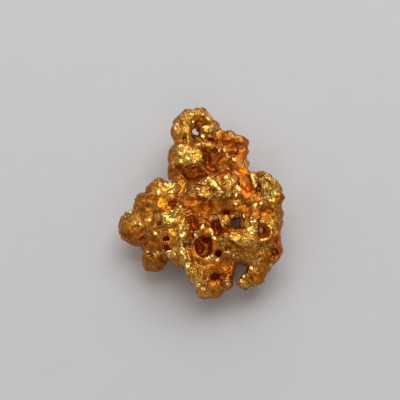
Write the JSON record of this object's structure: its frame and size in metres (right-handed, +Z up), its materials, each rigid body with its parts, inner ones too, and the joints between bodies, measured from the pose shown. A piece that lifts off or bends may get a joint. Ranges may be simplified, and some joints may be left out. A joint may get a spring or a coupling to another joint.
{
  "type": "gold nugget",
  "caption": "Small natural gold nugget: a spongy, lobed lump with a narrow head, pits, folded ridges, a few holes right through and a flattish worn underside to rest on.",
  "frame": {"origin": "under the middle of the nugget's bounding box, on the surface that it lies on", "axes": "+Z up from the surface, +Y towards the narrow head, along the nugget's longest extent, and +X to the right of someone who looks along +Y, where the flake and the hook are"},
  "size_m": [0.0164, 0.0202, 0.0061],
  "materials": {
    "native_gold": null
  },
  "bodies": {
    "root": {"nugget": "native_gold"}
  },
  "joints": []
}
